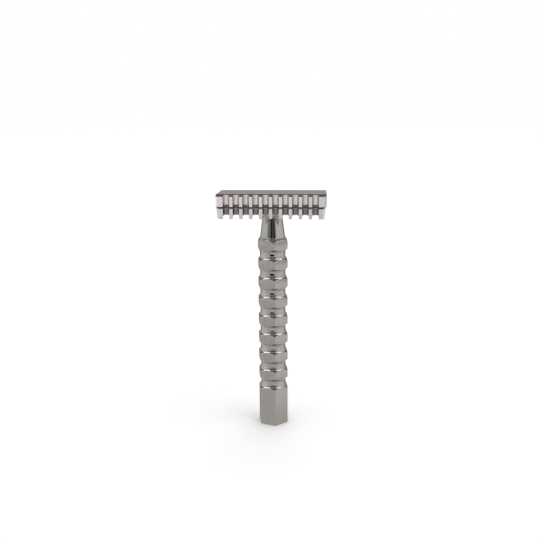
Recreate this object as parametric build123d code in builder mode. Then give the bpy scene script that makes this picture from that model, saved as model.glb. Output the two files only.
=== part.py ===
from build123d import *
from math import radians, sin, sqrt, tan
import os

# A three-piece double-edge safety razor with an open comb, standing upright on its handle's foot.
# All sizes are in millimetres. The origin is the centre of the foot on the table, +Z runs up the
# handle, X runs along the head, and the front edge of the head faces -Y.

os.makedirs("parts", exist_ok=True)

# Handle: a hexagonal bar with round grooves turned into it, and a tapered round neck.
hex_across_flats = 11.6
hex_edge_round = 0.35
hex_turn = 10.0  # degrees from -Y round to the nearest edge of the hexagon, towards +X
foot_edge_break = 0.25
lowest_groove_height = 18.7  # to the groove's centre
groove_count = 8
groove_pitch = 7.97
groove_floor = 0.9  # straight stretch at the bottom of each groove
groove_radius = 2.05  # of the rounds up to the rings
waist_radius = 5.25  # left at the bottom of each groove
ring_edge_round = 0.15
top_ring_height = 5.0  # from the top groove's centre to the shoulder's lowest corner
shoulder_height = 2.0
neck_base_radius = 5.2
neck_top_radius = 3.8
neck_length = 10.25

# Screw: a stud fixed in the cap, through the blade and the comb plate, into the neck.
stud_radius = 2.5
thread_pitch = 0.8
thread_turns = 8  # turns from tight to free
stud_depth_in_cap = 1.9
stud_end_chamfer = 0.4
thread_clearance = 0.05  # radial, between the stud and the hole in the neck
thread_hole_spare = 3.0  # left under the stud's end when tight

# Curved clamp: comb plate, blade and cap share one centre line, a little apart.
comb_top_radius = 24.58
blade_thickness = 0.1
blade_gap = 0.06  # above and below the blade

# Comb plate.
comb_end_setback = 0.1  # of each end behind the cap's end, at the top
comb_end_lean = 0.65  # further in, at the tooth tips
comb_reach = 0.55  # of the teeth beyond the cap's front and back
comb_seat_to_crown = 5.04  # from the handle's top to the plate's crown
comb_web = 4.3  # thickness at the crown
comb_under_radius = 37.5
comb_corner_chamfer = 1.0
boss_rim = 0.7  # round the handle's seat
stud_hole_clearance = 0.1  # radial, in the comb plate
pin_hole_clearance = 0.05  # radial, in the comb plate
tooth_drop = 1.54  # tips below the handle's top
tooth_heel_depth = 9.6  # from the middle plane to where a tooth leaves the underside
tooth_tip_depth = 9.95  # from the middle plane to the back of a tooth's tip
tooth_tip_round = 0.4
tooth_end_round = 0.3  # of each tip's lower corners
tooth_edge_break = 0.12
tooth_taper = 4.0  # degrees, on the sides of the lower part of a tooth
tooth_taper_height = 2.0

# Gaps in the comb, and the flutes of the cap over them.
gap_count = 10
gap_pitch = 3.88
gap_width = 2.38
gap_depth = 2.5
flute_width = 2.5
flute_depth = 1.85

# Cap.
cap_overhang = 0.25  # past each end of the blade
cap_depth = 20.7
cap_height = 7.93  # from the handle's top to the flat top
cap_flat_depth = 15.5
cap_slope_drop = 0.72
cap_corner_chamfer = 0.6
cap_edge_round = 0.12

# Locating pins, pressed into the cap.
pin_radius = 1.5
pin_spacing = 30.0
pin_depth_in_cap = 1.5
pin_length_below_cap = 4.1
pin_end_chamfer = 0.3

# Blade.
blade_length = 43.0
blade_width = 22.0  # measured round the curve
blade_edge_length = 37.2
blade_tab_width = 15.0
blade_slot_width = 1.6
blade_stud_clearance = 0.3  # radial
blade_pin_clearance = 0.2  # radial

# Heights and radii worked out from the sizes above.
top_groove_height = lowest_groove_height + (groove_count - 1) * groove_pitch
shoulder_base = top_groove_height + top_ring_height
neck_base = shoulder_base + shoulder_height
handle_height = neck_base + neck_length
hex_corner_radius = hex_across_flats / sqrt(3)
comb_crown = handle_height + comb_seat_to_crown
curve_centre = comb_crown - comb_top_radius
blade_inner_radius = comb_top_radius + blade_gap
blade_outer_radius = blade_inner_radius + blade_thickness
cap_under_radius = blade_outer_radius + blade_gap
cap_crown = curve_centre + cap_under_radius
cap_length = blade_length + 2 * cap_overhang
comb_length = cap_length - 2 * comb_end_setback
comb_foot_length = comb_length - 2 * comb_end_lean
comb_depth = cap_depth + 2 * comb_reach
cap_top = handle_height + cap_height
tooth_tip = handle_height - tooth_drop
comb_under_crown = comb_crown - comb_web
comb_under_centre = comb_under_crown - comb_under_radius
tooth_end_width = gap_pitch - gap_width - 2 * (tooth_taper_height - tooth_end_round) * tan(radians(tooth_taper))
end_tooth_spacing = gap_count * gap_pitch
stud_end = handle_height - thread_turns * thread_pitch


def arc_height(centre, radius, depth):
    """Height of a round surface along X, at a distance from the middle plane."""
    return centre + sqrt(radius**2 - depth**2)


def on_comb_front(edge):
    """True for an edge that lies in the front or the back plane of the comb's teeth."""
    return all(abs(abs(end.Y) - comb_depth / 2) < 0.001 for end in edge.vertices())


# Handle
with BuildPart() as handle:
    with BuildSketch():
        RegularPolygon(hex_corner_radius, 6, rotation=hex_turn - 90)
        fillet(vertices(), hex_edge_round)
    extrude(amount=neck_base)
    chamfer(edges().group_by(Axis.Z)[0], foot_edge_break)
    # The lathe turns the shoulder: a cone from the corners up to the neck.
    with BuildSketch(Plane.XZ):
        with BuildLine():
            Polyline(
                (0, 0),
                (hex_corner_radius, 0),
                (hex_corner_radius, shoulder_base),
                (neck_base_radius, neck_base),
                (0, neck_base),
                close=True,
            )
        make_face()
    revolve(axis=Axis.Z, mode=Mode.INTERSECT)
    with BuildSketch(Plane.XZ):
        for groove in range(groove_count):
            with Locations((waist_radius + groove_radius, lowest_groove_height + groove * groove_pitch)):
                SlotCenterToCenter(groove_floor, 2 * groove_radius, rotation=90)
    revolve(axis=Axis.Z, mode=Mode.SUBTRACT)
    # Every ring's rim is softened where the grooves and the shoulder meet the flats.
    rims = edges().filter_by(lambda e: foot_edge_break < e.center().Z < neck_base - ring_edge_round)
    fillet(rims.filter_by(lambda e: abs(e.tangent_at(0.5).Z) < 0.7), ring_edge_round)
    with BuildSketch(Plane.XY.offset(neck_base)):
        Circle(neck_base_radius)
    with BuildSketch(Plane.XY.offset(handle_height)):
        Circle(neck_top_radius)
    loft()
    with Locations((0, 0, handle_height)):
        Hole(stud_radius + thread_clearance, depth=handle_height - stud_end + thread_hole_spare)
handle.part.label = "handle"
export_step(handle.part, "parts/handle.step")

# Comb plate
with BuildPart() as comb_plate:
    with BuildSketch(Plane.YZ):
        with BuildLine():
            heel = (tooth_heel_depth, arc_height(comb_under_centre, comb_under_radius, tooth_heel_depth))
            rim = (comb_depth / 2, arc_height(curve_centre, comb_top_radius, comb_depth / 2))
            RadiusArc((0, comb_under_crown), heel, comb_under_radius)
            Polyline(heel, (tooth_tip_depth, tooth_tip), (comb_depth / 2, tooth_tip), rim)
            RadiusArc(rim, (0, comb_crown), -comb_top_radius)
            Line((0, comb_crown), (0, comb_under_crown))
        make_face()
        fillet(vertices().group_by(Axis.Y)[0].sort_by(Axis.X)[-1], tooth_tip_round)
        mirror(about=Plane.YZ)
    extrude(amount=comb_length / 2, both=True)
    # The end faces lean in towards the tooth tips, and their corners are cut off.
    with BuildSketch(Plane.XY.offset(comb_crown)):
        Rectangle(comb_length, comb_depth)
        chamfer(vertices(), comb_corner_chamfer)
    with BuildSketch(Plane.XY.offset(tooth_tip)):
        Rectangle(comb_foot_length, comb_depth)
        chamfer(vertices(), comb_corner_chamfer)
    loft(mode=Mode.INTERSECT)
    with BuildSketch(Plane.XY.offset(handle_height)):
        Circle(neck_top_radius + boss_rim)
    extrude(amount=comb_under_crown + comb_web / 2 - handle_height)
    # Gaps: straight above, and wider towards the tips.
    with BuildSketch(Plane.XY.offset(tooth_tip + tooth_taper_height)) as gaps:
        with GridLocations(gap_pitch, comb_depth, gap_count, 2):
            SlotOverall(2 * gap_depth, gap_width, rotation=90)
    extrude(gaps.sketch, amount=comb_crown - tooth_tip - tooth_taper_height, mode=Mode.SUBTRACT)
    extrude(gaps.sketch, amount=-tooth_taper_height, taper=-tooth_taper, mode=Mode.SUBTRACT)
    chamfer(edges().filter_by(on_comb_front), tooth_edge_break)
    # The teeth between the gaps have round lower corners.
    with BuildSketch(Plane.XZ):
        with Locations((0, (tooth_tip + tooth_end_round + cap_top) / 2)):
            Rectangle(cap_length, cap_top - tooth_tip - tooth_end_round)
        with Locations((0, tooth_tip + 2 * tooth_end_round)):
            with GridLocations(gap_pitch, 1, gap_count - 1, 1):
                RectangleRounded(tooth_end_width, 4 * tooth_end_round, tooth_end_round)
            with GridLocations(end_tooth_spacing, 1, 2, 1):
                Rectangle(gap_pitch, 4 * tooth_end_round)
    extrude(amount=comb_depth, both=True, mode=Mode.INTERSECT)
    with Locations((0, 0, comb_crown)):
        Hole(stud_radius + stud_hole_clearance)
        with GridLocations(pin_spacing, 1, 2, 1):
            Hole(pin_radius + pin_hole_clearance)
comb_plate.part.label = "comb_plate"
export_step(comb_plate.part, "parts/comb_plate.step")

# Top cap
with BuildPart() as top_cap:
    with BuildSketch(Plane.YZ):
        with BuildLine():
            lip = (cap_depth / 2, arc_height(curve_centre, cap_under_radius, cap_depth / 2))
            RadiusArc((0, cap_crown), lip, cap_under_radius)
            Polyline(
                lip,
                (cap_depth / 2, cap_top - cap_slope_drop),
                (cap_flat_depth / 2, cap_top),
                (0, cap_top),
                (0, cap_crown),
            )
        make_face()
        mirror(about=Plane.YZ)
    extrude(amount=cap_length / 2, both=True)
    chamfer(edges().filter_by(Axis.Z), cap_corner_chamfer)
    with BuildSketch(Plane.XY.offset(curve_centre)):
        with GridLocations(gap_pitch, cap_depth, gap_count, 2):
            SlotOverall(2 * flute_depth, flute_width, rotation=90)
    extrude(amount=cap_top - curve_centre, mode=Mode.SUBTRACT)
    fillet(edges(), cap_edge_round)
    with BuildSketch(Plane.XY.offset(curve_centre)):
        Circle(stud_radius)
    extrude(amount=cap_under_radius + stud_depth_in_cap, mode=Mode.SUBTRACT)
    with BuildSketch(Plane.XY.offset(curve_centre)):
        with GridLocations(pin_spacing, 1, 2, 1):
            Circle(pin_radius)
    extrude(amount=cap_under_radius + pin_depth_in_cap, mode=Mode.SUBTRACT)
top_cap.part.label = "top_cap"
export_step(top_cap.part, "parts/top_cap.step")

# Stud
with BuildPart() as cap_stud:
    with BuildSketch(Plane.XY.offset(stud_end)):
        Circle(stud_radius)
    extrude(amount=cap_crown + stud_depth_in_cap - stud_end)
    chamfer(edges().group_by(Axis.Z)[0], stud_end_chamfer)
cap_stud.part.label = "cap_stud"
export_step(cap_stud.part, "parts/cap_stud.step")

# Locating pins
for side, pin_name in ((-1, "locating_pin_left"), (1, "locating_pin_right")):
    with BuildPart() as pin:
        with BuildSketch(Plane.XY.offset(cap_crown - pin_length_below_cap)):
            with Locations((side * pin_spacing / 2, 0)):
                Circle(pin_radius)
        extrude(amount=pin_length_below_cap + pin_depth_in_cap)
        chamfer(edges().group_by(Axis.Z)[0], pin_end_chamfer)
    pin.part.label = pin_name
    export_step(pin.part, f"parts/{pin_name}.step")

# Blade: a thin strip, bent round the comb plate's crown.
blade_half_angle = (blade_width / 2) / blade_inner_radius
with BuildPart() as double_edge_blade:
    with BuildSketch(Plane.YZ):
        with Locations((0, curve_centre)):
            Circle(blade_outer_radius)
            Circle(blade_inner_radius, mode=Mode.SUBTRACT)
        with Locations((0, blade_outer_radius + curve_centre)):
            Rectangle(2 * blade_inner_radius * sin(blade_half_angle), blade_outer_radius, mode=Mode.INTERSECT)
    extrude(amount=blade_length / 2, both=True)
    with BuildSketch(Plane.XY.offset(curve_centre)):
        with GridLocations(blade_length, blade_width, 2, 2):
            Rectangle(blade_length - blade_edge_length, blade_width - blade_tab_width)
        Circle(stud_radius + blade_stud_clearance)
        SlotCenterToCenter(pin_spacing, blade_slot_width)
        with GridLocations(pin_spacing, 1, 2, 1):
            Circle(pin_radius + blade_pin_clearance)
    extrude(amount=blade_outer_radius + 1, mode=Mode.SUBTRACT)
double_edge_blade.part.label = "double_edge_blade"
export_step(double_edge_blade.part, "parts/double_edge_blade.step")
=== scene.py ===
import math
import bpy
import bmesh
from mathutils import Matrix, Vector


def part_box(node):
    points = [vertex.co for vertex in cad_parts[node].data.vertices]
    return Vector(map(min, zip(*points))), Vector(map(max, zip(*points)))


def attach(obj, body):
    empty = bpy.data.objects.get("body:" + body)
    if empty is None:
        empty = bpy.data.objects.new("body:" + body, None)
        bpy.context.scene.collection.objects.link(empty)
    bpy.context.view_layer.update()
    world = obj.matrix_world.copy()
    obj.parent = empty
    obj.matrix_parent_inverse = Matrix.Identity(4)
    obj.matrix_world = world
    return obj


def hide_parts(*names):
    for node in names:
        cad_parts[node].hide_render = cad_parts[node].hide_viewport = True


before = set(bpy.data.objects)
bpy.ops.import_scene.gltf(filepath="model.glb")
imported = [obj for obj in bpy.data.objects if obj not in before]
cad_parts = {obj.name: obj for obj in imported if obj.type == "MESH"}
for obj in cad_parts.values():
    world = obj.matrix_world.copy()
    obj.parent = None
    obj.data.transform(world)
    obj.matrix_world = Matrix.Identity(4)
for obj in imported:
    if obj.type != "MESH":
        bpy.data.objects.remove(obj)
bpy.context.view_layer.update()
scene = bpy.context.scene
mm = 0.001  # scene units are metres, sizes below are millimetres
print("frame loaded:", len(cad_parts), "nodes")


def linear(hexColour):
    # sRGB hex text to the linear colour that shaders use
    channels = [int(hexColour[i : i + 2], 16) / 255 for i in (1, 3, 5)]
    return [c / 12.92 if c <= 0.04045 else ((c + 0.055) / 1.055) ** 2.4 for c in channels] + [1.0]


def addNode(tree, kind, settings=None, inputs=None):
    # one node, its settings, and its inputs: each is a value or another node's output
    node = tree.nodes.new(kind)
    for name, value in (settings or {}).items():
        setattr(node, name, value)
    for name, value in (inputs or {}).items():
        if isinstance(value, bpy.types.NodeSocket):
            tree.links.new(value, node.inputs[name])
        else:
            node.inputs[name].default_value = value
    return node


# camera: a little to the right of the razor, looking slightly down at it
cameraSet = {
    "place": (18.09, -251.85, 126.7),
    "aim": (-0.0742, 0.9707, -0.2288),
    "roll": 0.384,  # degrees clockwise
    "lens": 41.65,
    "sensor": 36,
    "near": 5,  # closest distance that it shows
}
aim = Vector(cameraSet["aim"]).normalized()
level = aim.cross(Vector((0, 0, 1))).normalized()
roll = math.radians(cameraSet["roll"])
right = level * math.cos(roll) - level.cross(aim) * math.sin(roll)
cameraData = bpy.data.cameras.new("camera")
cameraData.lens = cameraSet["lens"]
cameraData.sensor_width = cameraSet["sensor"]
cameraData.clip_start = cameraSet["near"] * mm
camera = bpy.data.objects.new("camera", cameraData)
cameraTurn = Matrix((right, right.cross(aim), -aim)).transposed().to_4x4()
camera.matrix_world = Matrix.Translation(Vector(cameraSet["place"]) * mm) @ cameraTurn
scene.collection.objects.link(camera)
scene.camera = camera
scene.view_settings.view_transform = "Standard"
print("camera ready")


# white floor in a light tent: bright sides, a dim ceiling, and dark gaps in front and behind
studioSet = {
    "floorColour": "#F4F4F4",
    "floorRoughness": 0.9,
    "floorGloss": 0.1,
    "floorSize": 30.0,  # metres
    "floorLight": 0.9,  # strength of the dome that lights the floor
    # daylight on the floor: where from, how wide in degrees, and how strong
    "daylight": {
        "right window": ((1.7, -0.45, 1.9), 50, 0.5),
        "back window": ((0.2, 1.5, 1.9), 50, 0.5),
    },
    "wall": 0.74,  # brightness of the tent where no panel is
    # each panel's azimuth from the front towards +X, elevation, half width, half height and soft edge,
    # all in degrees, and its brightness; a later one covers an earlier one
    "panels": {
        "left wall": (-84, 0, 28, 40, 20, 0.93),
        "right wall": (78, 2, 34, 30, 20, 0.98),
        "back": (180, 0, 52, 34, 12, 0.36),
        "upper back": (180, 38, 70, 9, 8, 0.08),
        "left sill": (-90, -7.2, 42, 1.5, 1.6, 1.5),
        "right sill": (84, -7.2, 40, 1.5, 2, 0.28),
        "back sill": (172, -7.2, 40, 1.5, 1.6, 1.3),
        "below": (0, -80, 360, 30, 15, 0.62),
        "ceiling": (0, 68, 360, 30, 8, 0.24),
        "left softbox": (-62, 42, 34, 5, 4, 3.2),
        "right softbox": (66, 42, 34, 5, 4, 3.2),
        "front of the table": (-4, -6.5, 35, 4.5, 2, 1.18),
        "right of the table": (15, -6.5, 14, 4.5, 12, 0.92),
        "table edge": (-2, -13.4, 20, 4.0, 1.6, 0.02),
        "gap beside the camera": (-4, 12, 38, 15, 4, 0.3),
        "tripod": (-9, 12, 6, 15, 2, 0.0),
        "camera": (5, 12, 8, 15, 2, 0.12),
        "dark stand": (20, 12, 6, 15, 2, 0.01),
    },
}
floorMesh = bpy.data.meshes.new("floor")
half = studioSet["floorSize"] / 2
floorCorners = [(-half, -half, 0), (half, -half, 0), (half, half, 0), (-half, half, 0)]
floorMesh.from_pydata(floorCorners, [], [(0, 1, 2, 3)])
floor = bpy.data.objects.new("floor", floorMesh)
scene.collection.objects.link(floor)
floorPaint = bpy.data.materials.new("matt white card")
floorPaint.use_nodes = True
floorShader = floorPaint.node_tree.nodes["Principled BSDF"]
floorShader.inputs["Base Color"].default_value = linear(studioSet["floorColour"])
floorShader.inputs["Roughness"].default_value = studioSet["floorRoughness"]
floorShader.inputs["Specular IOR Level"].default_value = studioSet["floorGloss"]
floorMesh.materials.append(floorPaint)
floor.visible_glossy = False  # the steel mirrors the tent below instead

world = bpy.data.worlds.new("tent")
scene.world = world
world.use_nodes = True
tent = world.node_tree
tent.nodes.clear()
towards = addNode(tent, "ShaderNodeTexCoord")
parts = addNode(tent, "ShaderNodeSeparateXYZ", inputs={0: towards.outputs["Generated"]})
front = addNode(tent, "ShaderNodeMath", {"operation": "MULTIPLY"}, {0: parts.outputs["Y"], 1: -1})
bearing = {0: parts.outputs["X"], 1: front.outputs[0]}
azimuth = addNode(tent, "ShaderNodeMath", {"operation": "ARCTAN2"}, bearing)
elevation = addNode(tent, "ShaderNodeMath", {"operation": "ARCSINE"}, {0: parts.outputs["Z"]})


def panelShare(angle, middle, halfSize, edge):
    # 1 inside the panel, 0 outside it, with a soft edge
    away = addNode(tent, "ShaderNodeMath", {"operation": "SUBTRACT"}, {0: angle.outputs[0], 1: middle})
    turnLimits = {0: away.outputs[0], 1: math.pi, 2: -math.pi}
    wrapped = addNode(tent, "ShaderNodeMath", {"operation": "WRAP"}, turnLimits)
    size = addNode(tent, "ShaderNodeMath", {"operation": "ABSOLUTE"}, {0: wrapped.outputs[0]})
    limits = {"From Min": halfSize + edge / 2, "From Max": halfSize - edge / 2, "Value": size.outputs[0]}
    return addNode(tent, "ShaderNodeMapRange", {"interpolation_type": "SMOOTHSTEP"}, limits)


glow = studioSet["wall"]
for name, (turn, rise, halfWidth, halfHeight, edge, brightness) in studioSet["panels"].items():
    across = panelShare(azimuth, math.radians(turn), math.radians(halfWidth), math.radians(edge))
    up = panelShare(elevation, math.radians(rise), math.radians(halfHeight), math.radians(edge))
    sides = {0: across.outputs[0], 1: up.outputs[0]}
    share = addNode(tent, "ShaderNodeMath", {"operation": "MULTIPLY"}, sides)
    blend = {"Factor": share.outputs[0], "A": glow, "B": brightness}
    glow = addNode(tent, "ShaderNodeMix", {"label": name}, blend).outputs[0]
mirrored = addNode(tent, "ShaderNodeBackground", inputs={"Strength": glow})
plain = addNode(tent, "ShaderNodeBackground", inputs={"Strength": 1.0})
dome = addNode(tent, "ShaderNodeBackground", inputs={"Strength": studioSet["floorLight"]})
for background in (mirrored, plain, dome):
    background.inputs["Color"].default_value = (1, 1, 1, 1)
# the floor is lit by the dome, the steel mirrors the tent, and behind the razor all is white
ray = addNode(tent, "ShaderNodeLightPath")
onFloor = {0: ray.outputs["Is Diffuse Ray"], 1: mirrored.outputs[0], 2: dome.outputs[0]}
lit = addNode(tent, "ShaderNodeMixShader", inputs=onFloor)
behind = {0: ray.outputs["Is Camera Ray"], 1: lit.outputs[0], 2: plain.outputs[0]}
seen = addNode(tent, "ShaderNodeMixShader", inputs=behind)
addNode(tent, "ShaderNodeOutputWorld", inputs={0: seen.outputs[0]})

for name, (place, width, strength) in studioSet["daylight"].items():
    light = bpy.data.lights.new(name, "SUN")
    light.angle = math.radians(width)
    light.energy = strength
    lamp = bpy.data.objects.new(name, light)
    lamp.rotation_euler = (-Vector(place)).to_track_quat("-Z", "Y").to_euler()
    lamp.visible_glossy = False
    scene.collection.objects.link(lamp)
print("studio ready")


# steels: each has a grain that its own tool left
grainSet = {
    "grainDetail": 3,
    "smudgeSize": (7, 7, 9),  # millimetres, of faint handling marks
    "smudgeDetail": 4,
    "smudgeShare": 0.4,
    "pattern": (0.4, 1.0),  # the range of grain and smudges together that shows
    "levelFrom": (0.7, 0.95),  # how far up a face points as its grain turns to the level one, and its painted shade tint sets in
    "shadeOpen": (0.6, 0.97),  # how open a place is, from a deep recess to a plain face, for the painted shade in recesses
    "bevelBlend": 0.04,  # millimetres
}


def grainSteel(name, finish):
    # finish: colours, including painted shade for recesses and level faces, roughness, grain sizes on upright
    # and on level faces, and depth in millimetres
    material = bpy.data.materials.new(name)
    material.use_nodes = True
    tree = material.node_tree
    shader = tree.nodes["Principled BSDF"]
    shader.inputs["Metallic"].default_value = 1.0
    place = addNode(tree, "ShaderNodeTexCoord")
    noises = {
        "upright": (finish["grain"], grainSet["grainDetail"]),
        "level": (finish["levelGrain"], grainSet["grainDetail"]),
        "smudge": (grainSet["smudgeSize"], grainSet["smudgeDetail"]),
    }
    noise = {}
    for label, (size, detail) in noises.items():
        cells = {"Vector": place.outputs["Object"], "Scale": [1 / (mm * length) for length in size]}
        stretched = addNode(tree, "ShaderNodeMapping", inputs=cells)
        pattern = {"Vector": stretched.outputs[0], "Scale": 1.0, "Detail": detail}
        noise[label] = addNode(tree, "ShaderNodeTexNoise", inputs=pattern).outputs["Fac"]
    facing = addNode(tree, "ShaderNodeSeparateXYZ", inputs={0: place.outputs["Normal"]})
    upward = addNode(tree, "ShaderNodeMath", {"operation": "ABSOLUTE"}, {0: facing.outputs["Z"]})
    least, most = grainSet["levelFrom"]
    turning = {"Value": upward.outputs[0], "From Min": least, "From Max": most}
    level = addNode(tree, "ShaderNodeMapRange", inputs=turning).outputs[0]
    grains = {"Factor": level, "A": noise["upright"], "B": noise["level"]}
    lines = addNode(tree, "ShaderNodeMix", inputs=grains)
    marks = {0: noise["smudge"], 1: grainSet["smudgeShare"], 2: lines.outputs[0]}
    both = addNode(tree, "ShaderNodeMath", {"operation": "MULTIPLY_ADD"}, marks)
    least, most = grainSet["pattern"]
    shown = {"Value": both.outputs[0], "From Min": least, "From Max": most}
    shade = addNode(tree, "ShaderNodeMapRange", inputs=shown)
    grained = addNode(tree, "ShaderNodeMix", {"data_type": "RGBA"}, {"Factor": shade.outputs[0]})
    grained.inputs[6].default_value = linear(finish["dark"])
    grained.inputs[7].default_value = linear(finish["light"])
    colour = grained.outputs[2]
    # painted shade: faces that point up or down are tinted darker and cooler
    if "levelShadeTint" in finish:
        levelShading = {"data_type": "RGBA", "blend_type": "MULTIPLY"}
        levelShade = addNode(tree, "ShaderNodeMix", levelShading, {"Factor": level})
        tree.links.new(colour, levelShade.inputs[6])
        levelShade.inputs[7].default_value = linear(finish["levelShadeTint"])
        colour = levelShade.outputs[2]
    # painted shade: where ambient occlusion finds a recess, the colour darkens towards the recess colour
    reach = {"Distance": finish["shadeReach"] * mm}
    nearby = addNode(tree, "ShaderNodeAmbientOcclusion", {"only_local": True}, reach)
    least, most = grainSet["shadeOpen"]
    openness = {"Value": nearby.outputs["AO"], "From Min": least, "From Max": most}
    depth = addNode(tree, "ShaderNodeMapRange", inputs=openness)
    recessShade = addNode(tree, "ShaderNodeMix", {"data_type": "RGBA"}, {"Factor": depth.outputs[0]})
    recessShade.inputs[6].default_value = linear(finish["recessShade"])
    tree.links.new(colour, recessShade.inputs[7])
    colour = recessShade.outputs[2]
    if "edgeFrom" in finish:
        # ground bevels along both long edges, from this far out
        spot = addNode(tree, "ShaderNodeSeparateXYZ", inputs={0: place.outputs["Object"]})
        out = addNode(tree, "ShaderNodeMath", {"operation": "ABSOLUTE"}, {0: spot.outputs["Y"]})
        edgeStart = finish["edgeFrom"] * mm
        edgeFull = edgeStart + grainSet["bevelBlend"] * mm
        bevel = {"Value": out.outputs[0], "From Min": edgeStart, "From Max": edgeFull}
        ground = addNode(tree, "ShaderNodeMapRange", inputs=bevel)
        edged = addNode(tree, "ShaderNodeMix", {"data_type": "RGBA"}, {"Factor": ground.outputs[0]})
        tree.links.new(colour, edged.inputs[6])
        edged.inputs[7].default_value = linear(finish["edge"])
        colour = edged.outputs[2]
    tree.links.new(colour, shader.inputs["Base Color"])
    roughness = {**shown, "To Min": finish["smooth"], "To Max": finish["rough"]}
    rough = addNode(tree, "ShaderNodeMapRange", inputs=roughness)
    tree.links.new(rough.outputs[0], shader.inputs["Roughness"])
    relief = {"Height": lines.outputs[0], "Distance": finish["depth"] * mm, "Strength": 1.0}
    bump = addNode(tree, "ShaderNodeBump", inputs=relief)
    tree.links.new(bump.outputs[0], shader.inputs["Normal"])
    return material


# real grain is about 0.05 mm wide; it is drawn 0.3 to 0.4 mm wide, so that it shows at all
# every finish's recess colour is painted shade, laid into its recesses by ambient occlusion
finishes = {
    # cold drawn bar: soft grey, with fine lines along its length
    "drawn stainless bar": {
        "dark": "#A4A09B",
        "light": "#B0ACA8",
        "recessShade": "#9C9894",
        "shadeReach": 0.8,
        "smooth": 0.16,
        "rough": 0.24,
        "grain": (0.4, 0.4, 25),
        "levelGrain": (0.4, 0.4, 25),
        "depth": 0.006,
    },
    # turned on a lathe and buffed: near mirror, with rings from the tool
    "turned and buffed stainless steel": {
        "dark": "#A6A3A0",
        "light": "#B2AFAD",
        "recessShade": "#9C9894",
        "shadeReach": 0.8,
        "smooth": 0.02,
        "rough": 0.06,
        "grain": (30, 30, 0.35),
        "levelGrain": (2, 2, 2),
        "depth": 0.002,
    },
    # milled and satin finished: bright and faintly pink in front, with painted shade that makes level faces
    # cooler and darker, faint painted shade in its flutes, and cutter lines
    "milled stainless cap": {
        "dark": "#CFC8C6",
        "light": "#E0D9D7",
        "levelShadeTint": "#EFF2FA",
        "recessShade": "#C9C2C0",
        "shadeReach": 1.2,
        "smooth": 0.1,
        "rough": 0.19,
        "grain": (0.35, 20, 20),
        "levelGrain": (20, 0.35, 20),
        "depth": 0.006,
    },
    # the same steel, with the same painted shade on level faces, and strong painted shade that keeps its deep
    # saw cuts dark
    "milled stainless comb with painted gap shade": {
        "dark": "#CFC8C6",
        "light": "#E0D9D7",
        "levelShadeTint": "#EFF2FA",
        "recessShade": "#3E3B3A",
        "shadeReach": 2.0,
        "smooth": 0.1,
        "rough": 0.19,
        "grain": (0.35, 20, 20),
        "levelGrain": (20, 0.35, 20),
        "depth": 0.006,
    },
    # turned screw stock: plain grey with rings
    "turned stainless screw": {
        "dark": "#A0A0A0",
        "light": "#B4B4B4",
        "recessShade": "#8E8C8A",
        "shadeReach": 0.5,
        "smooth": 0.14,
        "rough": 0.24,
        "grain": (20, 20, 0.3),
        "levelGrain": (2, 2, 2),
        "depth": 0.004,
    },
    # rolled and ground blade strip: cool, bright and even, with lines along its edge
    "ground blade strip": {
        "dark": "#BDBFC4",
        "light": "#D0D2D6",
        "edgeFrom": 9.4,
        "edge": "#8F9196",
        "recessShade": "#8A8C90",
        "shadeReach": 0.5,
        "smooth": 0.12,
        "rough": 0.2,
        "grain": (15, 0.3, 0.3),
        "levelGrain": (15, 0.3, 15),
        "depth": 0.002,
    },
}
steels = {name: grainSteel(name, finish) for name, finish in finishes.items()}
print("materials ready")


mergeGap = 1e-6  # metres, between points that close a seam or a pole


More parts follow.
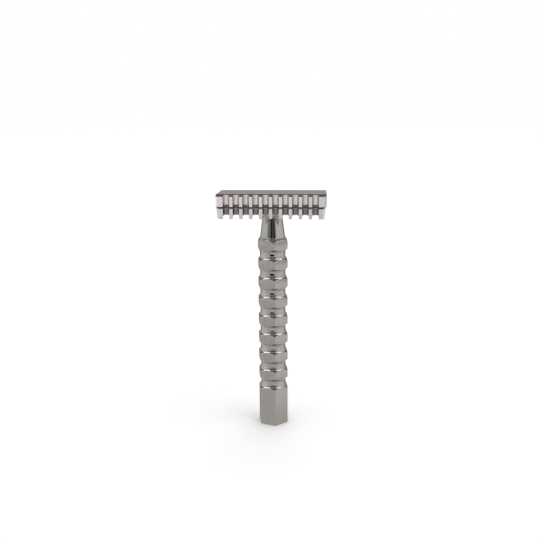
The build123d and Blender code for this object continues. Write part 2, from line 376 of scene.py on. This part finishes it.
# turned pieces: a skin of rows and columns round +Z, made by geometry nodes
def turnedPiece(
    name, sizes, rows, columns, steps, radii, heights, material, faceSteps=None, faceMaterial=None
):
    # steps are sums on the sizes, on "row" and "angle", and on earlier steps
    # radii and heights name what each stage of the rows takes
    # faceSteps are sums on "faceRow" that end in "chosen", the faces that get faceMaterial
    tree = bpy.data.node_groups.new(name, "GeometryNodeTree")
    tree.interface.new_socket("Geometry", in_out="OUTPUT", socket_type="NodeSocketGeometry")
    for label in sizes:
        tree.interface.new_socket(label, in_out="INPUT", socket_type="NodeSocketFloat")
    tree.interface.new_socket("material", in_out="INPUT", socket_type="NodeSocketMaterial")
    tree.interface.new_socket("faceMaterial", in_out="INPUT", socket_type="NodeSocketMaterial")
    group = addNode(tree, "NodeGroupInput")
    known = {label: group.outputs[label] for label in sizes}
    grid = addNode(tree, "GeometryNodeMeshGrid", inputs={0: rows - 1, 1: columns, 2: rows, 3: columns + 1})
    place = addNode(tree, "GeometryNodeInputPosition")
    split = addNode(tree, "ShaderNodeSeparateXYZ", inputs={0: place.outputs[0]})
    known["across"] = split.outputs["X"]
    known["round"] = split.outputs["Y"]
    known["face"] = addNode(tree, "GeometryNodeInputIndex").outputs[0]
    known["chosen"] = False
    begin = {
        "shifted": ("ADD", "across", (rows - 1) / 2),
        "row": ("ROUND", "shifted"),
        "column": ("ADD", "round", columns / 2),
        "angle": ("MULTIPLY", "column", math.tau / columns),
        "faceRows": ("DIVIDE", "face", columns),
        "faceRow": ("FLOOR", "faceRows"),
    }
    for label, (operation, *terms) in {**begin, **steps, **(faceSteps or {})}.items():
        values = {i: known.get(term, term) for i, term in enumerate(terms)}
        known[label] = addNode(tree, "ShaderNodeMath", {"operation": operation}, values).outputs[0]
    ends = []
    for names in (radii, heights):
        switch = addNode(tree, "GeometryNodeIndexSwitch", {"data_type": "FLOAT"}, {"Index": known["stage"]})
        while len(switch.index_switch_items) < len(names):
            switch.index_switch_items.new()
        for i, label in enumerate(names):
            source = known.get(label, label)
            if isinstance(source, bpy.types.NodeSocket):
                tree.links.new(source, switch.inputs[i + 1])
            else:
                switch.inputs[i + 1].default_value = source
        ends.append(switch.outputs[0])
    radius, height = ends
    cosine = addNode(tree, "ShaderNodeMath", {"operation": "COSINE"}, {0: known["bearing"]})
    sine = addNode(tree, "ShaderNodeMath", {"operation": "SINE"}, {0: known["bearing"]})
    x = addNode(tree, "ShaderNodeMath", {"operation": "MULTIPLY"}, {0: cosine.outputs[0], 1: radius})
    y = addNode(tree, "ShaderNodeMath", {"operation": "MULTIPLY"}, {0: sine.outputs[0], 1: radius})
    point = addNode(tree, "ShaderNodeCombineXYZ", inputs={0: x.outputs[0], 1: y.outputs[0], 2: height})
    metres = addNode(tree, "ShaderNodeVectorMath", {"operation": "SCALE"}, {0: point.outputs[0], "Scale": mm})
    kept = {"domain": "FACE", "data_type": "BOOLEAN"}
    marking = {"Geometry": grid.outputs[0], "Name": "chosen", "Value": known["chosen"]}
    marked = addNode(tree, "GeometryNodeStoreNamedAttribute", kept, marking)
    moving = {"Geometry": marked.outputs[0], "Position": metres.outputs[0]}
    moved = addNode(tree, "GeometryNodeSetPosition", inputs=moving)
    joined = addNode(tree, "GeometryNodeMergeByDistance", inputs={0: moved.outputs[0], "Distance": mergeGap})
    smooth = addNode(tree, "GeometryNodeSetShadeSmooth", inputs={0: joined.outputs[0]})
    real = addNode(tree, "GeometryNodeRealizeInstances", inputs={0: smooth.outputs[0]})
    allFaces = {0: real.outputs[0], "Material": group.outputs["material"]}
    painted = addNode(tree, "GeometryNodeSetMaterial", inputs=allFaces)
    chosen = addNode(tree, "GeometryNodeInputNamedAttribute", {"data_type": "BOOLEAN"}, {"Name": "chosen"})
    someFaces = {
        0: painted.outputs[0],
        "Selection": chosen.outputs["Attribute"],
        "Material": group.outputs["faceMaterial"],
    }
    finished = addNode(tree, "GeometryNodeSetMaterial", inputs=someFaces)
    addNode(tree, "NodeGroupOutput", inputs={0: finished.outputs[0]})

    maker = bpy.data.objects.new(name, bpy.data.meshes.new(name))
    scene.collection.objects.link(maker)
    modifier = maker.modifiers.new("turned", "NODES")
    modifier.node_group = tree
    given = {label: float(size) for label, size in sizes.items()}
    given["material"] = material
    given["faceMaterial"] = faceMaterial or material
    for item in tree.interface.items_tree:
        if item.in_out == "INPUT":
            modifier[item.identifier] = given[item.name]
    return maker


meshSet = {
    "breakAngle": 28,  # degrees; flatter corners than this aren't broken
    "breakSegments": 3,
    "creaseAngle": 40,  # degrees; sharper corners than this look crisp
}


def plainMesh(maker, edgeBreak=0):
    # breaks the maker's edges, then keeps its result as an ordinary mesh
    if edgeBreak:
        bevel = maker.modifiers.new("edge break", "BEVEL")
        bevel.width = edgeBreak * mm
        bevel.segments = meshSet["breakSegments"]
        bevel.limit_method = "ANGLE"
        bevel.angle_limit = math.radians(meshSet["breakAngle"])
    evaluated = maker.evaluated_get(bpy.context.evaluated_depsgraph_get())
    mesh = bpy.data.meshes.new_from_object(evaluated)
    maker.modifiers.clear()
    maker.data = mesh
    shape = bmesh.new()
    shape.from_mesh(mesh)
    bmesh.ops.recalc_face_normals(shape, faces=shape.faces)
    shape.to_mesh(mesh)
    shape.free()
    mesh.set_sharp_from_angle(angle=math.radians(meshSet["creaseAngle"]))


# handle: a hexagonal bar with turned grooves, and a round neck with a hole for the stud
handleSet = {
    "acrossFlats": 11.6,
    "cornerTurn": -80.0,  # degrees from +X to the first corner
    "grooves": 8,
    "lowestGroove": 18.7,
    "groovePitch": 7.97,
    "grooveFloor": 0.9,  # straight stretch at the bottom of a groove
    "grooveRadius": 2.05,
    "waistRadius": 5.25,
    "shoulderBase": 79.49,
    "neckBase": 81.49,
    "neckBaseRadius": 5.2,
    "neckTop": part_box("handle")[1].z / mm,
    "neckTopRadius": 3.8,
    "boreRadius": 2.55,
    "boreBottom": 82.34,
    "rowsEach": 18,  # rows of the skin in each groove
    "columns": 144,
    "edgeBreak": 0.15,
}
grooveRows = handleSet["grooves"] * handleSet["rowsEach"]
handlePiece = turnedPiece(
    "handle_skin",
    handleSet,
    grooveRows + 8,
    handleSet["columns"],
    {
        # the hexagon's radius at each angle
        "sixth": ("FLOORED_MODULO", "angle", math.pi / 3),
        "fromFlat": ("SUBTRACT", "sixth", math.pi / 6),
        "fromFlatCosine": ("COSINE", "fromFlat"),
        "halfAcross": ("MULTIPLY", "acrossFlats", 0.5),
        "flat": ("DIVIDE", "halfAcross", "fromFlatCosine"),
        # how far each groove's arc swings before it meets the hexagon
        "toolCentre": ("ADD", "waistRadius", "grooveRadius"),
        "toolGap": ("SUBTRACT", "toolCentre", "flat"),
        "toolShare": ("DIVIDE", "toolGap", "grooveRadius"),
        "swing": ("ARCCOSINE", "toolShare"),
        # which groove a row is in, and how far round its arc
        "grooveRow": ("SUBTRACT", "row", 2),
        "grooveShare": ("DIVIDE", "grooveRow", "rowsEach"),
        "groove": ("FLOOR", "grooveShare"),
        "rowsBefore": ("MULTIPLY", "groove", "rowsEach"),
        "rowWithin": ("SUBTRACT", "grooveRow", "rowsBefore"),
        "fromMiddle": ("SUBTRACT", "rowWithin", (handleSet["rowsEach"] - 1) / 2),
        "side": ("SIGN", "fromMiddle"),
        "rowsOut": ("ABSOLUTE", "fromMiddle"),
        "stepsOut": ("SUBTRACT", "rowsOut", 0.5),
        "swung": ("DIVIDE", "stepsOut", handleSet["rowsEach"] / 2 - 1),
        "arc": ("MULTIPLY", "swung", "swing"),
        "arcCosine": ("COSINE", "arc"),
        "arcSine": ("SINE", "arc"),
        "arcIn": ("MULTIPLY", "arcCosine", "grooveRadius"),
        "grooveSkin": ("SUBTRACT", "toolCentre", "arcIn"),
        "grooveMiddle": ("MULTIPLY_ADD", "groove", "groovePitch", "lowestGroove"),
        "halfFloor": ("MULTIPLY", "grooveFloor", 0.5),
        "out": ("MULTIPLY_ADD", "arcSine", "grooveRadius", "halfFloor"),
        "grooveHeight": ("MULTIPLY_ADD", "out", "side", "grooveMiddle"),
        # where the shoulder's cone meets the hexagon
        "corner": ("DIVIDE", "acrossFlats", math.sqrt(3)),
        "coneIn": ("SUBTRACT", "corner", "flat"),
        "coneWidth": ("SUBTRACT", "corner", "neckBaseRadius"),
        "coneShare": ("DIVIDE", "coneIn", "coneWidth"),
        "coneHeight": ("SUBTRACT", "neckBase", "shoulderBase"),
        "shoulderEdge": ("MULTIPLY_ADD", "coneShare", "coneHeight", "shoulderBase"),
        # stages: 0 and 1 are the foot, 2 all the grooves, and 3 to 8 the shoulder, neck and bore
        "footStage": ("MINIMUM", "row", 2),
        "rowsAbove": ("SUBTRACT", "row", grooveRows + 1),
        "topStage": ("MAXIMUM", "rowsAbove", 0),
        "stage": ("ADD", "footStage", "topStage"),
        "turn": ("RADIANS", "cornerTurn"),
        "bearing": ("ADD", "angle", "turn"),
    },
    [0, "flat", "grooveSkin", "flat", "neckBaseRadius", "neckTopRadius", "boreRadius", "boreRadius", 0],
    [0, 0, "grooveHeight", "shoulderEdge", "neckBase", "neckTop", "neckTop", "boreBottom", "boreBottom"],
    steels["turned and buffed stainless steel"],
    {
        # the hexagon's flats lie between grooves, on one row of faces each
        "fromGrooves": ("SUBTRACT", "faceRow", 2),
        "withinGroove": ("FLOORED_MODULO", "fromGrooves", "rowsEach"),
        "chosen": ("COMPARE", "withinGroove", handleSet["rowsEach"] - 1, 0.5),
    },
    steels["drawn stainless bar"],
)
plainMesh(handlePiece, handleSet["edgeBreak"])
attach(handlePiece, "handle")
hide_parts("handle")
print("handle turned:", len(handlePiece.data.polygons), "faces")


# stud: a metric thread, right-handed, with a bevelled end
studSet = {
    "crestRadius": 2.5,
    "rootRadius": 2.07,
    "pitch": 0.8,
    "endRadius": 2.1,  # of the bevelled end
    "studEnd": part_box("cap_stud")[0].z / mm,
    "studTop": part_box("cap_stud")[1].z / mm,
    "crestShare": 1 / 8,  # of the pitch that is flat crest
    "rootShare": 1 / 4,  # of the pitch that is flat root
    "rowsPerTurn": 16,
    "columns": 48,
}
studRows = round((studSet["studTop"] - studSet["studEnd"]) / studSet["pitch"] * studSet["rowsPerTurn"])
studPiece = turnedPiece(
    "stud_thread",
    studSet,
    studRows + 3,
    studSet["columns"],
    {
        "rowsUp": ("SUBTRACT", "row", 1),
        "length": ("SUBTRACT", "studTop", "studEnd"),
        "rowHeight": ("DIVIDE", "length", studRows),
        "height": ("MULTIPLY_ADD", "rowsUp", "rowHeight", "studEnd"),
        # how far a point is from the thread's crest, as a share of a turn
        "turnsUp": ("DIVIDE", "height", "pitch"),
        "turnShare": ("DIVIDE", "angle", math.tau),
        "turnsAhead": ("SUBTRACT", "turnsUp", "turnShare"),
        "withinTurn": ("FLOORED_MODULO", "turnsAhead", 1),
        "fromCrest": ("SUBTRACT", "withinTurn", 0.5),
        "away": ("ABSOLUTE", "fromCrest"),
        # how far down the flank it is
        "halfCrest": ("MULTIPLY", "crestShare", 0.5),
        "pastCrest": ("SUBTRACT", "away", "halfCrest"),
        "flats": ("ADD", "crestShare", "rootShare"),
        "flanks": ("SUBTRACT", 1, "flats"),
        "flank": ("MULTIPLY", "flanks", 0.5),
        "flankShare": ("DIVIDE", "pastCrest", "flank"),
        "downFlank": ("MAXIMUM", "flankShare", 0),
        "cutShare": ("MINIMUM", "downFlank", 1),
        "threadDepth": ("SUBTRACT", "crestRadius", "rootRadius"),
        "cut": ("MULTIPLY", "cutShare", "threadDepth"),
        "threadSkin": ("SUBTRACT", "crestRadius", "cut"),
        "aboveEnd": ("SUBTRACT", "height", "studEnd"),
        "endSkin": ("ADD", "aboveEnd", "endRadius"),
        "skin": ("MINIMUM", "threadSkin", "endSkin"),
        # stages: 0 closes the end, 1 is the thread, and 2 closes the top
        "started": ("MINIMUM", "row", 1),
        "rowsPast": ("SUBTRACT", "row", studRows + 1),
        "past": ("MAXIMUM", "rowsPast", 0),
        "stage": ("ADD", "started", "past"),
        "bearing": ("ADD", "angle", 0),
    },
    [0, "skin", 0],
    ["studEnd", "height", "studTop"],
    steels["turned stainless screw"],
)
plainMesh(studPiece)
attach(studPiece, "cap")
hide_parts("cap_stud")
print("stud threaded:", len(studPiece.data.polygons), "faces")


# head: its other pieces keep their shape
nodeSteels = {
    "comb_plate": "milled stainless comb with painted gap shade",
    "top_cap": "milled stainless cap",
    "locating_pin_left": "turned stainless screw",
    "locating_pin_right": "turned stainless screw",
    "double_edge_blade": "ground blade strip",
}
for node, name in nodeSteels.items():
    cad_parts[node].data.materials.clear()
    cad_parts[node].data.materials.append(steels[name])
print("head finished")
